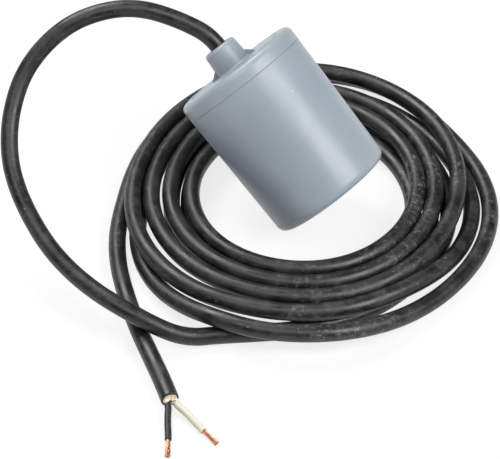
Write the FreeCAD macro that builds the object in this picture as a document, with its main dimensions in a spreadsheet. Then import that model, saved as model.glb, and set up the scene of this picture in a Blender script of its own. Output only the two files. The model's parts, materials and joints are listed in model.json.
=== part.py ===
"""Tethered pump float switch with its coiled two-conductor cord.

The float is a moulded cup with a cemented cap. It leans, cap up, with its lowest rim on the floor.
Inside, a steel ball rolls along the float and lifts the lever of a snap switch. The cord leaves the
boss on the cap, loops down to the floor, lies in a two-layer coil and ends in two stripped wires.

World frame: millimetres, +Z up, origin on the floor under the middle of the float's box.
Float frame: local Z runs from the closed end to the cap, along the float's axis.
"""
import FreeCAD, Part

import math
import os

import Sketcher

SIZES = {
    # the float's pose
    "float_lean": 48.7,
    "float_heading": 145.1,
    "float_roll": 45.0,
    # the moulded cup
    "float_length": 101.6,
    "closed_end_diameter": 81.5,
    "cap_diameter": 85.0,
    "body_wall": 3.2,
    "body_floor": 3.5,
    "closed_end_edge": 5.0,
    # the cap
    "seam_drop": 10.5,
    "seam_edge": 0.35,
    "cap_thickness": 4.0,
    "cap_edge": 4.5,
    "spigot_length": 8.0,
    "spigot_wall": 2.4,
    "spigot_gap": 0.25,
    "ring_mark_radius": 33.0,
    "ring_mark_width": 1.0,
    "ring_mark_depth": 0.5,
    # the boss that the cord leaves
    "boss_height": 16.0,
    "boss_base_diameter": 23.8,
    "boss_mouth_diameter": 21.7,
    "boss_mouth_edge": 2.6,
    "boss_root_edge": 1.2,
    "gusset_reach": 5.0,
    "gusset_height": 6.5,
    "gusset_thickness": 2.2,
    "gusset_count": 2,
    "seal_wall": 1.6,
    "seal_recess": 3.0,
    "seal_height": 10.0,
    # the potting inside the cap
    "potting_wall": 5.0,
    "potting_depth": 6.5,
    "cup_wall": 2.0,
    "jacket_stub": 1.6,
    # the cord
    "cord_diameter": 10.9,
    "conductor_diameter": 3.9,
    "conductor_spacing": 4.2,
    "strand_diameter": 2.5,
    "exit_run": 5.5,
    "filler_diameter": 8.9,
    "filler_length": 2.2,
    "bare_length": 12.0,
    # the coil
    "coil_centre_x": 17.9,
    "coil_centre_y": -4.4,
    "coil_least_radius": 67.0,
    "coil_turn_gap": 1.1,
    "coil_layer_gap": 0.65,
    "coil_oval": 0.05,
    "upper_shift_x": -6.2,
    "upper_shift_y": 4.5,
    # the ball and its tube
    "ball_radius": 10.0,
    "ball_travel": 14.0,
    "ball_side_gap": 0.5,
    "ball_end_gap": 0.3,
    "tube_wall": 1.6,
    "tube_floor": 3.0,
    "pad_thickness": 2.0,
    "pad_edge_gap": 0.2,
    "socket_height": 4.0,
    "socket_wall": 1.8,
    "socket_gap": 0.1,
    # the plate that stops the ball and carries the switch
    "stop_gap": 0.2,
    "plate_radius": 35.5,
    "plate_hole_radius": 8.6,
    "plate_socket_depth": 3.0,
    "post_count": 3,
    "post_circle": 31.0,
    "post_radius": 3.0,
    "post_root": 0.5,
    "pilot_depth": 9.0,
    "screw_radius": 1.25,
    "screw_hole_gap": 0.25,
    "screw_grip": 8.0,
    "screw_head_radius": 2.75,
    "screw_head_height": 2.0,
    "driver_slot": 0.8,
    # the lever
    "pivot_offset": 8.0,
    "lever_reach": 12.0,
    "lever_width": 6.0,
    "lever_thickness": 0.8,
    "lever_rest_tilt": 5.0,
    "lever_swing": 7.0,
    "lever_ball_gap": 0.3,
    "eye_radius": 1.7,
    "pin_radius": 1.0,
    "pin_gap": 0.1,
    "ear_gap": 0.4,
    "ear_thickness": 1.6,
    "ear_half_width": 2.0,
    "ear_top": 1.9,
    # the snap switch
    "switch_length": 30.0,
    "switch_depth": 10.3,
    "switch_height": 15.0,
    "switch_clearance": 0.4,
    "switch_wall": 1.5,
    "switch_end_block": 3.5,
    "cover_thickness": 1.2,
    "bracket_thickness": 2.0,
    "switch_screw_radius": 1.0,
    "switch_screw_head_radius": 1.7,
    "switch_screw_head_height": 1.2,
    "plunger_arm": 5.0,
    "plunger_radius": 1.2,
    "plunger_gap": 0.3,
    "plunger_hole_gap": 0.15,
    "flange_radius": 2.0,
    "flange_thickness": 0.8,
    "flange_gap": 0.1,
    "blade_height": 5.0,
    "blade_thickness": 0.4,
    "blade_width": 4.0,
    "blade_eye_radius": 1.1,
    "blade_pin_radius": 0.6,
    "blade_pin_gap": 0.08,
    "blade_side_gap": 0.25,
    "blade_gap": 0.2,
    "blade_end_gap": 0.9,
    "cheek_thickness": 0.7,
    "cheek_length": 1.8,
    "tab_thickness": 0.8,
    "tab_width": 6.3,
    "tab_length": 6.3,
    "tab_gap": 0.3,
    "contact_inset": 2.0,
    "contact_radius": 1.2,
    "contact_height": 0.6,
    "contact_gap": 0.25,
    # the push-on terminals and their wires
    "crimp_width": 7.4,
    "crimp_thickness": 3.2,
    "crimp_height": 6.8,
    "crimp_seat_gap": 0.3,
    "barrel_radius": 2.6,
    "barrel_height": 3.5,
    "lead_straight": 0.5,
}

# The cord's route from its exit run to the coil, and from the coil to the stripped end. Each point is
# where two runs meet. FLOOR stands for the height of a cord that lies on the floor.
FLOOR = None
LEAD_POINTS = [
    (-48.3, 32.3, 113.1), (-56.2, 34.6, 117.0), (-66.2, 36.2, 121.0), (-77.2, 37.3, 124.9),
    (-88.9, 37.7, 127.6), (-101.0, 37.0, 128.4), (-113.8, 35.0, 126.9), (-126.8, 31.9, 123.4),
    (-139.0, 28.2, 116.8), (-151.0, 22.5, 107.0), (-161.0, 13.5, 96.0), (-167.0, 2.0, 84.0),
    (-170.0, -12.0, 71.5), (-169.0, -27.5, 59.0), (-163.5, -43.0, 48.0), (-154.0, -60.5, 39.0),
    (-142.0, -79.0, 32.5), (-128.0, -94.5, 27.5), (-114.0, -107.0, 24.5), (-101.5, -116.5, 22.8),
    (-89.5, -123.0, 19.8), (-77.0, -127.0, 14.4), (-65.0, -128.6, 8.8), (-53.0, -127.7, FLOOR),
    (-41.5, -125.9, FLOOR), (-18.0, -124.2, FLOOR),
]
TAIL_POINTS = [
    (-103.9, -23.5, FLOOR), (-104.6, -44.0, FLOOR), (-102.0, -68.0, FLOOR), (-96.0, -93.0, FLOOR),
    (-88.2, -119.5, FLOOR), (-79.6, -142.5, FLOOR), (-71.4, -164.0, FLOOR), (-66.9, -178.2, FLOOR),
]
BLACK_WIRE_POINTS = [(-64.8, -189.2, 4.7), (-66.0, -197.0, 3.4), (-67.1, -206.9, 2.4)]
WHITE_WIRE_POINTS = [(-57.6, -187.4, 4.8), (-53.4, -192.6, 3.8), (-46.9, -200.2, 2.6)]
BLACK_BARE_END = (-67.0, -219.0, 1.6)
WHITE_BARE_END = (-39.8, -208.4, 1.6)
COIL_ENTRY_RUN = 12.0
COIL_EXIT_RUN = 14.0
WIRE_EXIT_RUN = 4.5
WIRE_END_RUN = 3.5

# The coil turns counter-clockwise seen from above. Turn 0 points along +X from its centre. It winds
# in on the floor, climbs a layer in the half turn where it reverses, and winds out again on top. Its
# last two turns hang loose: they go down to the floor, and cross over the lead on their way.
FIRST_TURN = 0.77
LAST_TURN = 8.47
REVERSE_TURN = 3.22
REVERSE_ROUNDING = 0.15
SPIRAL_END = 6.72
BIARCS_PER_TURN = 16
# How the loose turns fan out: from this turn, to this turn, change of radius in pitches.
FAN_STEPS = [
    (0.68, 0.90, -1.16), (1.05, 1.35, 0.46), (1.60, 1.95, -0.46), (2.05, 2.35, 0.46),
    (2.60, 2.90, -0.50), (3.25, 3.55, 0.45), (3.58, 3.76, -0.20), (4.43, 4.56, 0.26),
    (4.58, 4.75, -0.26), (5.42, 5.55, 0.32), (5.58, 5.74, -0.32), (5.90, 6.12, 0.72), (6.20, 6.42, -0.67),
    (6.45, 6.58, 0.50), (6.61, 6.73, -0.50), (6.83, 6.95, -0.28), (6.95, 7.00, 0.08),
    (7.00, 7.07, -0.32), (7.12, 7.30, 0.20), (7.455, 7.60, 1.38), (7.60, 7.66, 0.23),
    (7.68, 7.74, -0.22), (7.74, 7.86, -0.74), (7.86, 7.99, 0.48), (8.00, 8.085, -0.38),
    (8.09, 8.20, 0.88), (8.27, 8.42, -0.40),
]
FIRST_FAN = 1.20
# Where the cord changes layer: from this turn, to this turn, up or down.
LAYER_STEPS = [(2.97, 3.47, 1), (6.83, 6.96, -1), (7.60, 7.675, 1), (7.75, 7.87, -1)]
SHIFT_STEPS = [(3.22, 3.72, 1), (6.83, 6.98, -1)]

Vector = FreeCAD.Vector
doc = FreeCAD.newDocument("FloatSwitch")
sheet = doc.addObject("Spreadsheet::Sheet", "Sizes")
for row, (alias, value) in enumerate(SIZES.items(), start=1):
    sheet.set(f"A{row}", alias)
    sheet.set(f"B{row}", str(value))
    sheet.setAlias(f"B{row}", alias)
doc.recompute()


def named(alias):
    """The expression that reads one size from the sheet."""
    return f"Sizes.{alias}"


def number(expression):
    """The value of an expression of sizes, as a plain number."""
    value = sheet.evalExpression(str(expression))
    return float(getattr(value, "Value", value))


def size(alias):
    return number(named(alias))


# Heights along the float's axis, from the closed end's outer face.
CAP_TOP = "Sizes.float_length"
CAP_UNDERSIDE = "(Sizes.float_length - Sizes.cap_thickness)"
MOUTH = "(Sizes.float_length + Sizes.boss_height)"
SEAM = "(Sizes.float_length - Sizes.seam_drop)"
POTTING_BOTTOM = f"({CAP_UNDERSIDE} - Sizes.potting_depth)"
JACKET_END = f"({POTTING_BOTTOM} - Sizes.jacket_stub)"
PAD_TOP = "(Sizes.body_floor + Sizes.tube_floor + Sizes.pad_thickness)"
BALL_REST = f"({PAD_TOP} + Sizes.ball_end_gap + Sizes.ball_radius)"
BALL_TOP_LIMIT = f"({BALL_REST} + Sizes.ball_travel + Sizes.ball_radius)"
STOP_RISE = "sqrt(Sizes.ball_radius ^ 2 - (Sizes.plate_hole_radius - Sizes.stop_gap) ^ 2)"
PLATE_BOTTOM = f"({BALL_REST} + Sizes.ball_travel + {STOP_RISE})"
# The plate is thick enough for the ball to stand clear of the bracket above it.
BRACKET_RISE = "sqrt(Sizes.ball_radius ^ 2 - (Sizes.switch_depth / 2 - Sizes.stop_gap) ^ 2)"
PLATE_THICKNESS = f"({BRACKET_RISE} - {STOP_RISE})"
PLATE_TOP = f"({PLATE_BOTTOM} + {PLATE_THICKNESS})"
SWING_UP = "(Sizes.lever_swing - Sizes.lever_rest_tilt)"
PIVOT_HEIGHT = (f"({BALL_TOP_LIMIT} + Sizes.lever_ball_gap + Sizes.lever_thickness / 2"
                f" - Sizes.pivot_offset * sin({SWING_UP} * 1 deg))")
SWITCH_BOTTOM = f"({PIVOT_HEIGHT} + Sizes.ear_top + Sizes.switch_clearance)"
SWITCH_TOP = f"({SWITCH_BOTTOM} + Sizes.switch_height)"
SWITCH_FLOOR = f"({SWITCH_BOTTOM} + Sizes.switch_wall)"
BLADE_HEIGHT = f"({SWITCH_BOTTOM} + Sizes.blade_height)"
TAB_TOP = f"({SWITCH_TOP} + Sizes.tab_length)"
CRIMP_BOTTOM = f"({SWITCH_TOP} + Sizes.crimp_seat_gap)"
CRIMP_TOP = f"({CRIMP_BOTTOM} + Sizes.crimp_height)"
BARREL_TOP = f"({CRIMP_TOP} + Sizes.barrel_height)"

# Radii and places across the axis.
CORD_RADIUS = "(Sizes.cord_diameter / 2)"
CONDUCTOR_RADIUS = "(Sizes.conductor_diameter / 2)"
SEAL_RADIUS = f"({CORD_RADIUS} + Sizes.seal_wall)"
POTTING_RADIUS = f"({CORD_RADIUS} + Sizes.potting_wall)"
TUBE_INSIDE = "(Sizes.ball_radius + Sizes.ball_side_gap)"
TUBE_OUTSIDE = f"({TUBE_INSIDE} + Sizes.tube_wall)"
SOCKET_INSIDE = f"({TUBE_OUTSIDE} + Sizes.socket_gap)"
SOCKET_OUTSIDE = f"({SOCKET_INSIDE} + Sizes.socket_wall)"
PLUNGER_PLACE = "(Sizes.pivot_offset - Sizes.plunger_arm)"
TAB_OFFSET = ("(Sizes.switch_length / 2 - Sizes.switch_end_block - Sizes.blade_end_gap"
              " - Sizes.blade_eye_radius)")
LEVER_TOP_REST = (f"({PIVOT_HEIGHT} - Sizes.plunger_arm * sin(Sizes.lever_rest_tilt * 1 deg)"
                  f" + Sizes.lever_thickness / 2)")
PLUNGER_RISE = (f"(Sizes.plunger_arm * (sin(Sizes.lever_rest_tilt * 1 deg) + sin({SWING_UP} * 1 deg)))")
BLADE_ARM = f"({PLUNGER_PLACE} + {TAB_OFFSET})"
CONTACT_PLACE = f"({TAB_OFFSET} - Sizes.contact_inset)"
CONTACT_RISE = f"({PLUNGER_RISE} * ({CONTACT_PLACE} + {TAB_OFFSET}) / {BLADE_ARM})"
FIXED_CONTACT = (f"({BLADE_HEIGHT} + Sizes.blade_thickness / 2 + Sizes.contact_height + {CONTACT_RISE}"
                 f" + Sizes.contact_gap)")


def outer_radius(height):
    """The float's outer radius at a height: the mould draft is even from end to end."""
    return (f"(Sizes.closed_end_diameter / 2 + (Sizes.cap_diameter - Sizes.closed_end_diameter) / 2"
            f" * {height} / Sizes.float_length)")


def float_turn():
    """The rotation that lays the float's axis over."""
    z_axis = Vector(0, 0, 1)
    heading = FreeCAD.Rotation(z_axis, size("float_heading"))
    lean = FreeCAD.Rotation(Vector(0, 1, 0), size("float_lean"))
    roll = FreeCAD.Rotation(z_axis, size("float_roll"))
    return heading * lean * roll


def float_reach(direction, axis):
    """How far the float reaches along a direction from the middle of its closed end."""
    along = axis.dot(direction)
    across = math.sqrt(max(0.0, 1 - along * along))
    rims = [
        (size("closed_end_edge"), size("closed_end_diameter") / 2, size("closed_end_edge")),
        (size("float_length") - size("cap_edge"), size("cap_diameter") / 2, size("cap_edge")),
        (number(MOUTH) - size("boss_mouth_edge"), size("boss_mouth_diameter") / 2,
         size("boss_mouth_edge")),
    ]
    return max(height * along + (radius - edge) * across + edge for height, radius, edge in rims)


def float_base(axis):
    """The closed end's middle, so that the float's box stands centred over the origin."""
    x_axis, y_axis, z_axis = Vector(1, 0, 0), Vector(0, 1, 0), Vector(0, 0, 1)
    return Vector((float_reach(-x_axis, axis) - float_reach(x_axis, axis)) / 2,
                  (float_reach(-y_axis, axis) - float_reach(y_axis, axis)) / 2,
                  float_reach(-z_axis, axis))


TURN = float_turn()
AXIS = TURN.multVec(Vector(0, 0, 1))
FLOAT_PLACE = FreeCAD.Placement(float_base(AXIS), TURN)
UPRIGHT = FreeCAD.Placement()


def in_world(x, y, z):
    """A point of the float's own frame, in the world frame."""
    return FLOAT_PLACE.multVec(Vector(x, y, z))


sub_parts = []


def finish(solid, label, placement=FLOAT_PLACE):
    """Names a sub-part and puts it in its place."""
    solid.Label = label
    solid.Placement = placement
    sub_parts.append(solid)
    return solid


def bind(thing, **expressions):
    for name, expression in expressions.items():
        thing.setExpression(name, expression)


def put(solid, x="0", y="0", z="0", rotation=None):
    """Places a primitive in the float's own frame by expressions."""
    if rotation:
        solid.Placement.Rotation = rotation
    for side, expression in zip("xyz", (x, y, z)):
        solid.setExpression(f"Placement.Base.{side}", expression)
    return solid


ALONG_Y = FreeCAD.Rotation(Vector(1, 0, 0), -90)


def cylinder(name, radius, height, x="0", y="0", z="0", rotation=None):
    solid = doc.addObject("Part::Cylinder", name)
    bind(solid, Radius=radius, Height=height)
    return put(solid, x, y, z, rotation)


def box(name, length, width, height, x, y, z):
    """A box centred on x and y that stands on z."""
    solid = doc.addObject("Part::Box", name)
    bind(solid, Length=length, Width=width, Height=height)
    return put(solid, f"({x}) - ({length}) / 2", f"({y}) - ({width}) / 2", z)


def fuse(name, solids):
    joined = doc.addObject("Part::MultiFuse", name)
    joined.Shapes = solids
    return joined


def cut(name, base, tool):
    result = doc.addObject("Part::Cut", name)
    result.Base = base
    result.Tool = tool
    return result


def compound(name, solids):
    group = doc.addObject("Part::Compound", name)
    group.Links = solids
    return group


def ring(name, outside, inside, height, z):
    """A plain bush, open through its middle."""
    outer = cylinder(f"{name}Outer", outside, height, z=z)
    inner = cylinder(f"{name}Bore", inside, height, z=z)
    return cut(name, outer, inner)


def origin_feature(body, role):
    return next(feature for feature in body.Origin.OriginFeatures if feature.Role == role)


def outline_sketch(body, name, outline):
    """A closed outline of (radius, height) expressions, in the plane through the float's axis."""
    sketch = body.newObject("Sketcher::SketchObject", name)
    sketch.AttachmentSupport = (origin_feature(body, "XZ_Plane"), [""])
    sketch.MapMode = "FlatFace"
    corners = [Vector(number(radius), number(height), 0) for radius, height in outline]
    following = corners[1:] + corners[:1]
    sketch.addGeometry([Part.LineSegment(start, end) for start, end in zip(corners, following)])
    for index, (radius, height) in enumerate(outline):
        last = (index - 1) % len(outline)
        sketch.addConstraint(Sketcher.Constraint("Coincident", last, 2, index, 1))
        for kind, expression, axis in (("DistanceX", radius, -2), ("DistanceY", height, -1)):
            if expression == "0":
                sketch.addConstraint(Sketcher.Constraint("PointOnObject", index, 1, axis))
                continue
            value = number(expression)
            dimension = sketch.addConstraint(Sketcher.Constraint(kind, -1, 1, index, 1, value))
            sketch.setExpression(f"Constraints[{dimension}]", expression)
    return sketch


def turned_body(name, outline):
    """A body turned about the float's axis."""
    body = doc.addObject("PartDesign::Body", name)
    sketch = outline_sketch(body, f"{name}Outline", outline)
    turning = body.newObject("PartDesign::Revolution", f"{name}Turned")
    turning.Profile = sketch
    turning.ReferenceAxis = (sketch, ["V_Axis"])
    turning.Angle = 360
    doc.recompute()
    return body, turning


def rim(feature, radius, height):
    """The name of the circular edge at a radius and a height."""
    wanted_radius, wanted_height = number(radius), number(height)
    for index, edge in enumerate(feature.Shape.Edges, start=1):
        curve = edge.Curve
        if not isinstance(curve, Part.Circle):
            continue
        if abs(curve.Radius - wanted_radius) < 1e-4 and abs(curve.Center.z - wanted_height) < 1e-4:
            return f"Edge{index}"
    raise RuntimeError(f"no rim of radius {wanted_radius} at {wanted_height}")


def rounded(body, feature, name, radius, height, edge_radius):
    rounding = body.newObject("PartDesign::Fillet", name)
    rounding.Base = (feature, [rim(feature, radius, height)])
    rounding.setExpression("Radius", edge_radius)
    doc.recompute()
    return rounding


def bevelled(body, feature, name, radius, height, edge_width):
    bevel = body.newObject("PartDesign::Chamfer", name)
    bevel.Base = (feature, [rim(feature, radius, height)])
    bevel.setExpression("Size", edge_width)
    doc.recompute()
    return bevel


def spread(body, name, features, count):
    """Repeats features evenly about the float's axis."""
    pattern = body.newObject("PartDesign::PolarPattern", name)
    pattern.Originals = features
    pattern.Axis = (origin_feature(body, "Z_Axis"), [""])
    pattern.Angle = 360
    pattern.setExpression("Occurrences", count)
    body.Tip = pattern
    doc.recompute()
    return pattern


def circle_sketch(body, name, offset, radius, height):
    """A circle off the float's axis, at a height."""
    sketch = body.newObject("Sketcher::SketchObject", name)
    sketch.AttachmentSupport = (origin_feature(body, "XY_Plane"), [""])
    sketch.MapMode = "FlatFace"
    sketch.setExpression("AttachmentOffset.Base.z", height)
    middle = Vector(number(offset), 0, 0)
    sketch.addGeometry(Part.Circle(middle, Vector(0, 0, 1), number(radius)))
    sketch.addConstraint(Sketcher.Constraint("PointOnObject", 0, 3, -1))
    place = sketch.addConstraint(Sketcher.Constraint("DistanceX", -1, 1, 0, 3, middle.x))
    sketch.setExpression(f"Constraints[{place}]", offset)
    width = sketch.addConstraint(Sketcher.Constraint("Radius", 0, number(radius)))
    sketch.setExpression(f"Constraints[{width}]", radius)
    return sketch


def make_float_body():
    floor = "Sizes.body_floor"
    socket_top = f"({floor} + Sizes.socket_height)"
    end_radius = "(Sizes.closed_end_diameter / 2)"
    outline = [
        ("0", "0"), (end_radius, "0"), (outer_radius(SEAM), SEAM),
        (f"{outer_radius(SEAM)} - Sizes.body_wall", SEAM),
        (f"{outer_radius(floor)} - Sizes.body_wall", floor),
        (SOCKET_OUTSIDE, floor), (SOCKET_OUTSIDE, socket_top), (SOCKET_INSIDE, socket_top),
        (SOCKET_INSIDE, floor), ("0", floor),
    ]
    body, turning = turned_body("FloatBody", outline)
    closed_end = rounded(body, turning, "ClosedEndRounded", end_radius, "0", "Sizes.closed_end_edge")
    bevelled(body, closed_end, "BodySeamEdge", outer_radius(SEAM), SEAM, "Sizes.seam_edge")
    finish(body, "float_body")


def make_end_cap():
    base_radius = "(Sizes.boss_base_diameter / 2)"
    mouth_radius = "(Sizes.boss_mouth_diameter / 2)"
    cap_radius = "(Sizes.cap_diameter / 2)"
    mark_in = "(Sizes.ring_mark_radius - Sizes.ring_mark_width / 2)"
    mark_out = "(Sizes.ring_mark_radius + Sizes.ring_mark_width / 2)"
    mark_floor = f"({CAP_TOP} - Sizes.ring_mark_depth)"
    spigot_out = f"({outer_radius(SEAM)} - Sizes.body_wall - Sizes.spigot_gap)"
    spigot_in = f"({spigot_out} - Sizes.spigot_wall)"
    spigot_end = f"({SEAM} - Sizes.spigot_length)"
    cup_out = f"({POTTING_RADIUS} + Sizes.cup_wall)"
    outline = [
        (SEAL_RADIUS, MOUTH), (mouth_radius, MOUTH), (base_radius, CAP_TOP),
        (mark_in, CAP_TOP), (mark_in, mark_floor), (mark_out, mark_floor), (mark_out, CAP_TOP),
        (cap_radius, CAP_TOP), (outer_radius(SEAM), SEAM), (spigot_out, SEAM),
        (spigot_out, spigot_end), (spigot_in, spigot_end), (spigot_in, CAP_UNDERSIDE),
        (cup_out, CAP_UNDERSIDE), (cup_out, POTTING_BOTTOM), (POTTING_RADIUS, POTTING_BOTTOM),
        (POTTING_RADIUS, CAP_UNDERSIDE), (SEAL_RADIUS, CAP_UNDERSIDE),
    ]
    body, turning = turned_body("EndCap", outline)
    shoulder = rounded(body, turning, "CapShoulder", cap_radius, CAP_TOP, "Sizes.cap_edge")
    mouth = rounded(body, shoulder, "BossMouth", mouth_radius, MOUTH, "Sizes.boss_mouth_edge")
    root = rounded(body, mouth, "BossRoot", base_radius, CAP_TOP, "Sizes.boss_root_edge")
    bevelled(body, root, "CapSeamEdge", outer_radius(SEAM), SEAM, "Sizes.seam_edge")
    wall_middle = f"({SEAL_RADIUS} + {base_radius}) / 2"
    gusset = outline_sketch(body, "GussetOutline", [
        (wall_middle, mark_floor), (f"{base_radius} + Sizes.gusset_reach", mark_floor),
        (f"{base_radius} + Sizes.gusset_reach", CAP_TOP),
        (wall_middle, f"{CAP_TOP} + Sizes.gusset_height"),
    ])
    web = body.newObject("PartDesign::Pad", "Gusset")
    web.Profile = gusset
    web.SideType = "Symmetric"
    web.setExpression("Length", "Sizes.gusset_thickness")
    doc.recompute()
    spread(body, "Gussets", [web], "Sizes.gusset_count")
    post = body.newObject("PartDesign::Pad", "Post")
    post.Profile = circle_sketch(body, "PostCircle", "Sizes.post_circle", "Sizes.post_radius", PLATE_TOP)
    post.setExpression("Length", f"{CAP_UNDERSIDE} - {PLATE_TOP} + Sizes.post_root")
    doc.recompute()
    spread(body, "Posts", [post], "Sizes.post_count")
    pilot = body.newObject("PartDesign::Pocket", "Pilot")
    pilot.Profile = circle_sketch(body, "PilotCircle", "Sizes.post_circle", "Sizes.screw_radius", PLATE_TOP)
    pilot.Reversed = True
    pilot.setExpression("Length", "Sizes.pilot_depth")
    doc.recompute()
    spread(body, "Pilots", [pilot], "Sizes.post_count")
    finish(body, "end_cap")


def make_seals():
    seal_top = f"({MOUTH} - Sizes.seal_recess)"
    seal = ring("CordSeal", SEAL_RADIUS, CORD_RADIUS, "Sizes.seal_height", f"{seal_top} - Sizes.seal_height")
    finish(seal, "cord_seal")
    plug = ring("PottingPlug", POTTING_RADIUS, CORD_RADIUS, "Sizes.potting_depth", POTTING_BOTTOM)
    finish(plug, "potting_plug")
    jacket = cylinder("EntryJacket", CORD_RADIUS, f"{MOUTH} - {JACKET_END}", z=JACKET_END)
    finish(compound("CordEntry", [jacket]), "cord_entry")


def make_ball_tube():
    height = f"{PLATE_BOTTOM} - Sizes.body_floor"
    outer = cylinder("TubeOuter", TUBE_OUTSIDE, height, z="Sizes.body_floor")
    bore = cylinder("TubeBore", TUBE_INSIDE, f"{height} - Sizes.tube_floor",
                    z="Sizes.body_floor + Sizes.tube_floor")
    finish(cut("BallTube", outer, bore), "ball_tube")
    pad = cylinder("PadDisc", f"{TUBE_INSIDE} - Sizes.pad_edge_gap", "Sizes.pad_thickness",
                   z="Sizes.body_floor + Sizes.tube_floor")
    finish(compound("BallStopPad", [pad]), "ball_stop_pad")
    ball = doc.addObject("Part::Sphere", "BallSphere")
    bind(ball, Radius="Sizes.ball_radius")
    put(ball, z=BALL_REST)
    finish(compound("SteelBall", [ball]), "steel_ball")


def at_posts(name, make):
    """Repeats a piece at each of the cap's posts."""
    pieces = []
    for index in range(int(size("post_count"))):
        angle = f"({index} * 360 deg / Sizes.post_count)"
        pieces.append(make(f"{name}{index + 1}", f"Sizes.post_circle * cos({angle})",
                           f"Sizes.post_circle * sin({angle})"))
    return pieces


def make_carrier_plate():
    disc = cylinder("PlateDisc", "Sizes.plate_radius", PLATE_THICKNESS, z=PLATE_BOTTOM)
    socket = cylinder("PlateSocket", SOCKET_OUTSIDE, "Sizes.plate_socket_depth",
                      z=f"{PLATE_BOTTOM} - Sizes.plate_socket_depth")
    ear_height = f"{PIVOT_HEIGHT} + Sizes.ear_top - {PLATE_TOP}"
    ear_place = "(Sizes.lever_width / 2 + Sizes.ear_gap + Sizes.ear_thickness / 2)"
    ears = [box(f"Ear{side}", "2 * Sizes.ear_half_width", "Sizes.ear_thickness", ear_height,
                "Sizes.pivot_offset", f"{sign}{ear_place}", PLATE_TOP)
            for side, sign in (("Left", ""), ("Right", "-"))]
    wall = box("SwitchBracket", "Sizes.switch_length", "Sizes.bracket_thickness",
               f"{SWITCH_TOP} - {PLATE_TOP}", "0", "(Sizes.switch_depth + Sizes.bracket_thickness) / 2",
               PLATE_TOP)
    whole = fuse("PlateWhole", [disc, socket, wall] + ears)
    ball_hole = cylinder("PlateHole", "Sizes.plate_hole_radius",
                         PLATE_THICKNESS, z=PLATE_BOTTOM)
    tube_seat = cylinder("TubeSeat", SOCKET_INSIDE, "Sizes.plate_socket_depth",
                         z=f"{PLATE_BOTTOM} - Sizes.plate_socket_depth")
    screw_holes = at_posts("PlateScrewHole", lambda name, x, y: cylinder(
        name, "Sizes.screw_radius + Sizes.screw_hole_gap", PLATE_THICKNESS, x, y, PLATE_BOTTOM))
    pin_hole = cylinder("EarHole", "Sizes.pin_radius", "Sizes.switch_depth", "Sizes.pivot_offset",
                        "-Sizes.switch_depth / 2", PIVOT_HEIGHT, ALONG_Y)
    bracket_holes = switch_screw_cylinders("BracketHole", "Sizes.switch_screw_radius",
                                           "Sizes.bracket_thickness", "Sizes.switch_depth / 2")
    holes = fuse("PlateHoles", [ball_hole, tube_seat, pin_hole] + screw_holes + bracket_holes)
    finish(cut("CarrierPlate", whole, holes), "carrier_plate")


def switch_screw_cylinders(name, radius, length, y):
    """A cylinder on each of the switch's two screw lines, from y towards +Y."""
    reach = "(Sizes.switch_length - Sizes.switch_end_block) / 2"
    middle = f"{SWITCH_BOTTOM} + Sizes.switch_height / 2"
    return [cylinder(f"{name}{side}", radius, length, f"{sign}{reach}", y, middle, ALONG_Y)
            for side, sign in (("Left", "-"), ("Right", ""))]


def make_carrier_screw(name, x, y):
    head_bottom = f"{PLATE_BOTTOM} - Sizes.screw_head_height"
    head = cylinder(f"{name}Head", "Sizes.screw_head_radius", "Sizes.screw_head_height", x, y, head_bottom)
    slot = box(f"{name}Slot", "2 * Sizes.screw_head_radius", "Sizes.driver_slot",
               "Sizes.screw_head_height / 2", x, y, head_bottom)
    shank = cylinder(f"{name}Shank", "Sizes.screw_radius", f"{PLATE_THICKNESS} + Sizes.screw_grip",
                     x, y, PLATE_BOTTOM)
    return fuse(name, [cut(f"{name}SlottedHead", head, slot), shank])


def make_lever():
    strip = box("LeverStrip", "Sizes.lever_reach", "Sizes.lever_width", "Sizes.lever_thickness",
                "Sizes.pivot_offset - Sizes.lever_reach / 2", "0",
                f"{PIVOT_HEIGHT} - Sizes.lever_thickness / 2")
    start = "-Sizes.lever_width / 2"
    eye = cylinder("LeverEye", "Sizes.eye_radius", "Sizes.lever_width", "Sizes.pivot_offset", start,
                   PIVOT_HEIGHT, ALONG_Y)
    bore = cylinder("LeverBore", "Sizes.pin_radius + Sizes.pin_gap", "Sizes.lever_width",
                    "Sizes.pivot_offset", start, PIVOT_HEIGHT, ALONG_Y)
    lever = cut("ActuatorLever", fuse("LeverWhole", [strip, eye]), bore)
    pivot = Vector(size("pivot_offset"), 0, number(PIVOT_HEIGHT))
    tilt = FreeCAD.Rotation(Vector(0, 1, 0), -size("lever_rest_tilt"))
    tilted = FreeCAD.Placement(Vector(0, 0, 0), tilt, pivot)
    finish(lever, "actuator_lever", FLOAT_PLACE * tilted)
    pin_length = "Sizes.lever_width + 2 * Sizes.ear_gap + 2 * Sizes.ear_thickness"
    pin = cylinder("PivotPin", "Sizes.pin_radius", pin_length, "Sizes.pivot_offset",
                   f"-({pin_length}) / 2", PIVOT_HEIGHT, ALONG_Y)
    finish(compound("LeverPivotPin", [pin]), "lever_pivot_pin")


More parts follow.
